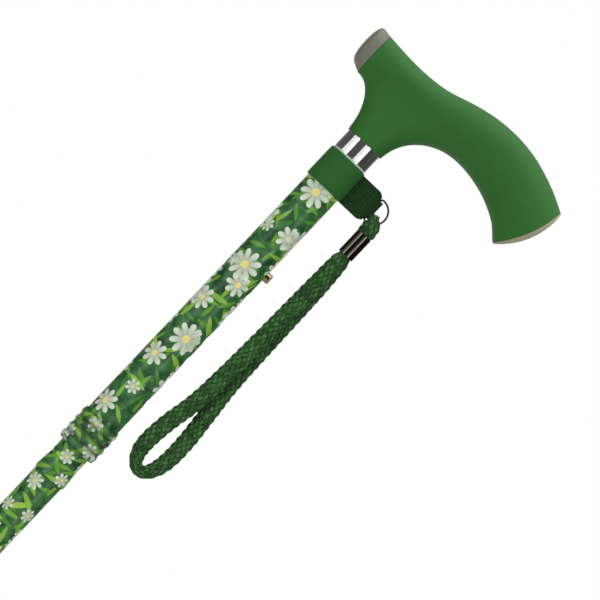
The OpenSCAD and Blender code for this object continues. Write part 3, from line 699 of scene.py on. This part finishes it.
EYE_ROUTE = [
    [35, -2, -6, 3.2, 1.5], [35, -2, -0.9, 3.3, 1.5], [34.9, -2.4, 0.4, 4.5, 1.6],
    [34.8, -3.3, 3.4, 5, 1.5], [34.1, -3.7, 7.4, 4.4, 1.4], [32.8, -2.6, 10.2, 2.6, 1.3],
    [32.4, 0, 11.3, 2.5, 1.2],
    [32.8, 2.6, 10.2, 2.6, 1.3], [34.1, 3.7, 7.4, 4.4, 1.4], [34.8, 3.3, 3.4, 5, 1.5],
    [34.9, 2.4, 0.4, 4.5, 1.6], [35, 2, -0.9, 3.3, 1.5], [35, 2, -6, 3.2, 1.5]]
EYE_TILT = 0.42
EYE_GRID = 48, 130


def cord_eye():
    """The eye's broad side tilts at its top, where it follows the slope of the D-ring's wire."""
    high = crimp_high.z
    route = Route([[x * MM, y * MM, high + h * MM, w * MM, d * MM] for x, y, h, w, d in EYE_ROUTE])

    def broad_of(run):
        tilt = Vector((1, 0, EYE_TILT * (1 - abs(run.z)) ** 2))
        return (tilt - run * tilt.dot(run)).normalized()

    return braided_tube("braided_eye", route, broad_of, *EYE_GRID)


cord, cord_route = wrist_cord()
eye = cord_eye()
finish_piece(cord, "lanyard", "green_cord", green_cord, "wrist_cord")
finish_piece(eye, "lanyard", "green_cord", eye_cord_shaded, "cord_eye")
cord_line = [cord_route.station(i / CORD_LINE_STEPS)[0][:3] for i in range(CORD_LINE_STEPS + 1)]
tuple(cord_line[0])


# Handle

grip = refined_copy("handle_grip", "grip", 0.4 * MM, 2, 4)
finish_piece(grip, "handle_section", "soft_grip", soft_grip, "handle_grip")
nose = refined_copy("nose_cap", "nose_end", 0.4 * MM, 2, 2)
finish_piece(nose, "handle_section", "grey_cap", grey_cap, "nose_cap")
tail = refined_copy("tail_cap", "tail_end", 0.3 * MM, 2, 2)
finish_piece(tail, "handle_section", "grey_cap", tail_grey, "tail_cap")


# Strap: a band round the tube and a tab, folded round the D-ring's bar and sewn. The tab is coloured darker than
# the band with painted shade.

BAND_THICK = 1.2 * MM
BAND_RISE = 0.7 * MM
BAND_SELVEDGE = 0.25 * MM
BAND_EDGE = 0.3 * MM
BAND_GRID = 24, 96
TAB_LAYER = 1.3 * MM
TAB_GAP = 0.1 * MM
TAB_EDGE = 0.25 * MM
TAB_GRID = 28, 90
TAB_START = tube_r + 0.9 * MM
TAB_CORNER = 3.9 * MM
TAB_CORNER_STOP = 0.4 * MM
TAB_END_INSET = 2.2 * MM
TAB_SLACK = 0.4 * MM
TAB_PUFF = 0.12 * MM
TAB_PUFF_LENGTH = 9 * MM
TAB_SIDE_STEPS = 14
TAB_BEND_STEPS = 16
STITCH = 2.2 * MM
STITCH_GAP = 0.7 * MM
STITCH_INSET = 1.4 * MM
STITCH_ROWS = TAB_START + 1.3 * MM, ring_bar.x - 7 * MM, ring_bar.x - 4.6 * MM
THREAD_HALF_WIDTH = 0.26 * MM
THREAD_HALF_DEPTH = 0.2 * MM


def strap_band():
    outer = band_high.y

    def place(across, along):
        angle = 2 * math.pi * along
        soft = BAND_SELVEDGE * (2 * across - 1) ** 8
        r = outer - BAND_THICK / 2 - soft
        height = band_low.z + across * (band_high.z + BAND_RISE - band_low.z)
        return Vector((r * math.cos(angle), r * math.sin(angle), height))

    piece = laid_grid("strap_loop", *BAND_GRID, place)
    apply_modifier(piece, "SOLIDIFY", thickness=BAND_THICK, offset=0.0)
    apply_modifier(piece, "BEVEL", width=BAND_EDGE, segments=2, limit_method="ANGLE")
    return piece


def tab_line():
    """Middle of the tab's fold, seen from above: out along one side, round the bar and back."""
    side = (TAB_LAYER + TAB_GAP) / 2
    loop = wire_r + TAB_LAYER / 2 + TAB_SLACK
    meet = math.asin(side / loop)
    start = ring_bar.x - loop * math.cos(meet)
    front = [Vector((TAB_START + (start - TAB_START) * i / TAB_SIDE_STEPS, -side)) for i in range(TAB_SIDE_STEPS)]
    turns = [meet + (2 * math.pi - 2 * meet) * i / TAB_BEND_STEPS for i in range(TAB_BEND_STEPS + 1)]
    bend = [Vector((ring_bar.x - loop * math.cos(a), -loop * math.sin(a))) for a in turns]
    return front + bend + [Vector((p.x, -p.y)) for p in reversed(front)]


def tab_half(x):
    """Half height of the tab at a distance from the shaft: full, then rounded off to the D-ring's bar."""
    full, end = (band_high.z - band_low.z) / 2, (ring_high.z - ring_low.z) / 2 - TAB_END_INSET
    past = (x - (ring_bar.x - TAB_CORNER)) / (TAB_CORNER - TAB_CORNER_STOP)
    return full if past <= 0 else end + (full - end) * math.sqrt(max(0, 1 - min(past, 1) ** 2))


def strap_tab():
    line = tab_line()

    def place(across, along):
        spot = along * (len(line) - 1)
        i = min(int(spot), len(line) - 2)
        p = line[i].lerp(line[i + 1], spot - i)
        puff = TAB_PUFF * math.sin(math.pi * min(1, max(0, (p.x - TAB_START) / TAB_PUFF_LENGTH)))
        y = p.y + math.copysign(puff, p.y)
        return Vector((p.x, y, ring_bar.z + (2 * across - 1) * tab_half(p.x)))

    piece = laid_grid("strap_tab", *TAB_GRID, place)
    apply_modifier(piece, "SOLIDIFY", thickness=TAB_LAYER, offset=0.0)
    apply_modifier(piece, "BEVEL", width=TAB_EDGE, segments=2, limit_method="ANGLE")
    return piece


def stitch(x, y, z):
    """One sunk stitch of thread that lies along the tab's height."""
    bpy.ops.object.select_all(action="DESELECT")
    bpy.ops.mesh.primitive_uv_sphere_add(segments=8, ring_count=6, radius=1, location=(x, y, z),
                                         scale=(THREAD_HALF_WIDTH, THREAD_HALF_DEPTH, STITCH / 2))
    bpy.ops.object.transform_apply(location=True, rotation=True, scale=True)
    bpy.ops.object.shade_smooth()
    return bpy.context.object


def strap_stitches():
    face = TAB_LAYER + TAB_GAP
    made = []
    for x in STITCH_ROWS:
        half = tab_half(x) - STITCH_INSET
        count = int(2 * half / (STITCH + STITCH_GAP))
        for i in range(count):
            z = ring_bar.z + (i - (count - 1) / 2) * (STITCH + STITCH_GAP)
            made += [stitch(x, side * face, z) for side in (-1, 1)]
    return joined("tab_stitches", made)


band = strap_band()
finish_piece(band, "handle_section", "green_webbing", green_webbing, "strap_band")
tab = strap_tab()
finish_piece(tab, "handle_section", "green_webbing", tab_webbing_shaded, "strap_band")
stitches = strap_stitches()
finish_piece(stitches, "handle_section", "green_webbing", green_thread)


# Elastic cord: for each fold joint two straight lengths down the shaft's middle, split a set length below the
# socket's bush

ELASTIC_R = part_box("shock_cord_middle")[1].x
ELASTIC_RIBS = 4
ELASTIC_RELIEF = 0.06
ELASTIC_TWIST = 0.4 * MM
ELASTIC_STEP = 0.6 * MM
ELASTIC_SIDES = 16
ELASTIC_LEAST_ROWS = 24
BEND_LENGTH = 21 * MM
LENGTHS_LAP = 1 * MM


def elastic_length(name, top, low):
    """One closed length of ribbed, twisted cord down the shaft's middle."""
    def place(turn, share):
        angle = 2 * math.pi * turn
        twist = ELASTIC_RIBS * angle + share * (top - low) / ELASTIC_TWIST
        r = 0 if is_end(share) else ELASTIC_R * (1 - ELASTIC_RELIEF + ELASTIC_RELIEF * math.cos(twist))
        return Vector((r * math.cos(angle), r * math.sin(angle), top + (low - top) * share))

    rows = max(ELASTIC_LEAST_ROWS, int((top - low) / ELASTIC_STEP))
    return laid_grid(name, ELASTIC_SIDES, rows, place)


def elastic_cords():
    for part, parent, link, child in (
            ("upper", "height_tube", "cord_link_upper", "second_section"),
            ("middle", "second_section", "cord_link_middle", "third_section"),
            ("lower", "third_section", "cord_link_lower", "fourth_section")):
        low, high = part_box("shock_cord_" + part)
        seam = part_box("socket_bush_" + part)[0].z
        split = seam - BEND_LENGTH
        bend = elastic_length("elastic_bend_" + part, high.z, split - LENGTHS_LAP)
        stretch = elastic_length("elastic_stretch_" + part, split, low.z)
        for piece in (bend, stretch):
            piece.data.materials.append(elastic_cord)
        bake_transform(bend)
        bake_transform(stretch)
        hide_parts("shock_cord_" + part)


elastic_cords()


# Spring strip behind the button: its back leg stays in the tube, and its front leg stays a separate piece where
# it lies

def spring_leg(name, side):
    """The half of the strip on one side of the shaft's middle, cut fine enough to bend."""
    leg = node_copy("button_spring", name)
    leg.data.materials.append(steel)
    bpy.ops.object.mode_set(mode="EDIT")
    bpy.ops.mesh.select_all(action="SELECT")
    bpy.ops.mesh.bisect(plane_co=(0, 0, 0), plane_no=(side, 0, 0), use_fill=True, clear_inner=True)
    bpy.ops.mesh.select_all(action="SELECT")
    bpy.ops.mesh.subdivide(number_cuts=3)
    bpy.ops.object.mode_set(mode="OBJECT")
    return leg


front_leg, back_leg = spring_leg("spring_front", 1), spring_leg("spring_back", -1)
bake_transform(front_leg)
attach(back_leg, "height_tube")
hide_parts("button_spring")


# Finishes of the CAD nodes that stay

FINISHES = {
    "neck_plug": inner_aluminium, "plug_pin": steel, "neck_ferrule": bright_chrome, "upper_tube": printed_wide,
    "end_collar": printed_collar, "strap_ring": dark_wire, "cord_crimp": dark_nickel, "height_tube": printed_thin,
    "top_bush": black_nylon, "snap_button": brass_button, "upper_cord_anchor": black_nylon,
    "socket_bush_upper": green_nylon, "joint_plug_upper": green_nylon, "second_tube": printed_thin,
    "socket_bush_middle": green_nylon, "joint_plug_middle": green_nylon, "third_tube": printed_thin,
    "socket_bush_lower": green_nylon, "joint_plug_lower": green_nylon, "fourth_tube": printed_thin,
    "lower_cord_anchor": black_nylon, "foot_washer": steel, "rubber_foot": black_rubber}
for node, finish in FINISHES.items():
    nodes[node].data.materials.clear()
    nodes[node].data.materials.append(finish)


# Floor, light and background

FLOOR_R = 1.6
FADE_START = 0.5
FADE_LENGTH = 1.0
FLOOR_COLOUR = 0.86, 0.86, 0.85, 1


def looked_at(wires):
    """1 on rays that a viewer sees along, straight, mirrored or through a clear piece, and 0 on the rest."""
    ray = wires.node("ShaderNodeLightPath").outputs
    return wires.math("MAXIMUM", ray["Is Camera Ray"], wires.math(
        "MAXIMUM", ray["Is Glossy Ray"], ray["Is Transmission Ray"]))


def add_floor():
    """A round pale floor that fades into the white background towards its rim."""
    bpy.ops.object.select_all(action="DESELECT")
    bpy.ops.mesh.primitive_circle_add(vertices=96, radius=FLOOR_R, fill_type="NGON")
    floor = bpy.context.object
    floor.name = "floor"
    material, wires, shader = new_material("pale_floor", Roughness=0.8)
    shader["Base Color"].default_value = FLOOR_COLOUR
    place = wires.node("ShaderNodeTexCoord").outputs["Object"]
    far = wires.node("ShaderNodeVectorMath", {0: place}, operation="LENGTH").outputs["Value"]
    edge = wires.math("DIVIDE", wires.math("SUBTRACT", far, FADE_START), FADE_LENGTH, clamp=True)
    fade = wires.math("MULTIPLY", edge, looked_at(wires))
    white = wires.node("ShaderNodeEmission", {"Strength": 1.0}).outputs[0]
    principled = material.node_tree.nodes["Principled BSDF"].outputs[0]
    blend = wires.node("ShaderNodeMixShader", {0: fade, 1: principled, 2: white})
    wires.feed(material.node_tree.nodes["Material Output"].inputs["Surface"], blend.outputs[0])
    floor.data.materials.append(material)


LIT_POINT = Vector((0.03, 0, 0.7))
# Softboxes as [name, place, width, height, power]
SOFTBOXES = [
    ["overhead_box", (0.05, -0.35, 2.4), 1.8, 1.8, 26],
    ["front_box_nose", (-1.25, -1.5, 1.0), 0.3, 1.8, 9],
    ["front_box_tail", (1.25, -1.5, 1.0), 0.3, 1.8, 9]]


def add_softbox(name, place, width, height, power):
    data = bpy.data.lights.new(name, "AREA")
    data.shape = "RECTANGLE"
    data.size, data.size_y, data.energy = width, height, power
    light = bpy.data.objects.new(name, data)
    bpy.context.scene.collection.objects.link(light)
    turn = (LIT_POINT - Vector(place)).to_track_quat("-Z", "Y").to_matrix().to_4x4()
    light.matrix_world = Matrix.Translation(place) @ turn
    light.visible_camera = False


CARD_REACH, CARD_LOW, CARD_HIGH = 2.4, -0.4, 2.4
# Cards as [name, start bearing, end bearing, shade]
CARDS = [
    ["card_nose_edge", -150, -127, 0.2], ["card_nose_side", -127, -72, 0.11], ["card_middle", -31, 13, 0.1],
    ["card_tail_side", 51, 88, 0.06], ["card_tail_line", 88, 98, 0.12], ["card_tail_back", 98, 126, 0.07],
    ["card_tail_edge", 126, 150, 0.2]]


def add_card(name, start, end, shade):
    """A tall grey card between two bearings, seen only in the bright metal."""
    material, _, shader = new_material(name, Roughness=0.9)
    shader["Base Color"].default_value = (shade, shade, shade, 1)

    def place(across, along):
        bearing = math.radians(start + (end - start) * across)
        return Vector((CARD_REACH * math.sin(bearing), -CARD_REACH * math.cos(bearing),
                       CARD_LOW + (CARD_HIGH - CARD_LOW) * along))

    card = laid_grid(name, 12, 1, place)
    card.data.materials.append(material)
    for ray in ("camera", "diffuse", "transmission", "shadow", "volume_scatter"):
        setattr(card, "visible_" + ray, False)


ROOM_LIGHT = 0.45


def add_light():
    """Softboxes, cards and an even room, which the viewer sees as white."""
    for softbox in SOFTBOXES:
        add_softbox(*softbox)
    for card in CARDS:
        add_card(*card)
    world = bpy.data.worlds.new("white_room")
    world.use_nodes = True
    bpy.context.scene.world = world
    wires = Wiring(world.node_tree)
    seen = looked_at(wires)
    room = world.node_tree.nodes["Background"]
    room.inputs["Color"].default_value = (1, 1, 1, 1)
    room.inputs["Strength"].default_value = ROOM_LIGHT
    backdrop = wires.node("ShaderNodeBackground", {"Color": (1, 1, 1, 1), "Strength": 1.0})
    blend = wires.node("ShaderNodeMixShader", {0: seen, 1: room.outputs[0], 2: backdrop.outputs[0]})
    wires.feed(world.node_tree.nodes["World Output"].inputs["Surface"], blend.outputs[0])


add_floor()
add_light()
bpy.context.scene.view_settings.view_transform = "Standard"
